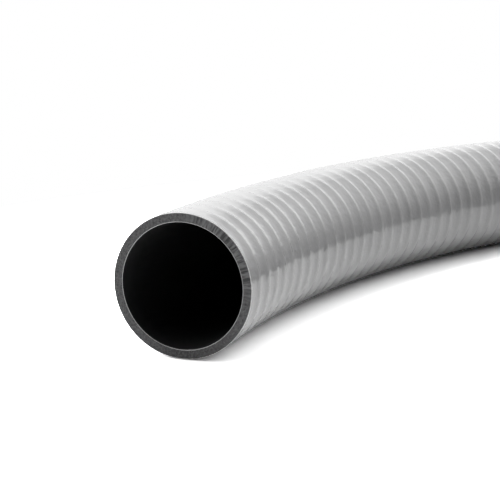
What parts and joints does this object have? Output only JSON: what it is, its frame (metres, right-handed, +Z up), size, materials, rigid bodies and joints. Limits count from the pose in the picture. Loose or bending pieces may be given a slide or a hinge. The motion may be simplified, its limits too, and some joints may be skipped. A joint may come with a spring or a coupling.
{
  "type": "corrugated conduit",
  "caption": "Cut length of flexible ribbed plastic conduit with a smooth open bore, lying in a flat quarter bend, for carrying cables.",
  "frame": {"origin": "on the floor under the middle of the plan", "axes": "+Z up from the floor; the first cut end faces -Y and the second faces +X, with the bend between them"},
  "size_m": [0.6986, 0.5889, 0.0578],
  "materials": {
    "grey_pvc": "semi-gloss grey outside, darker matt sawn ends and bore"
  },
  "bodies": {
    "root": {"conduit": "grey_pvc"}
  },
  "joints": []
}
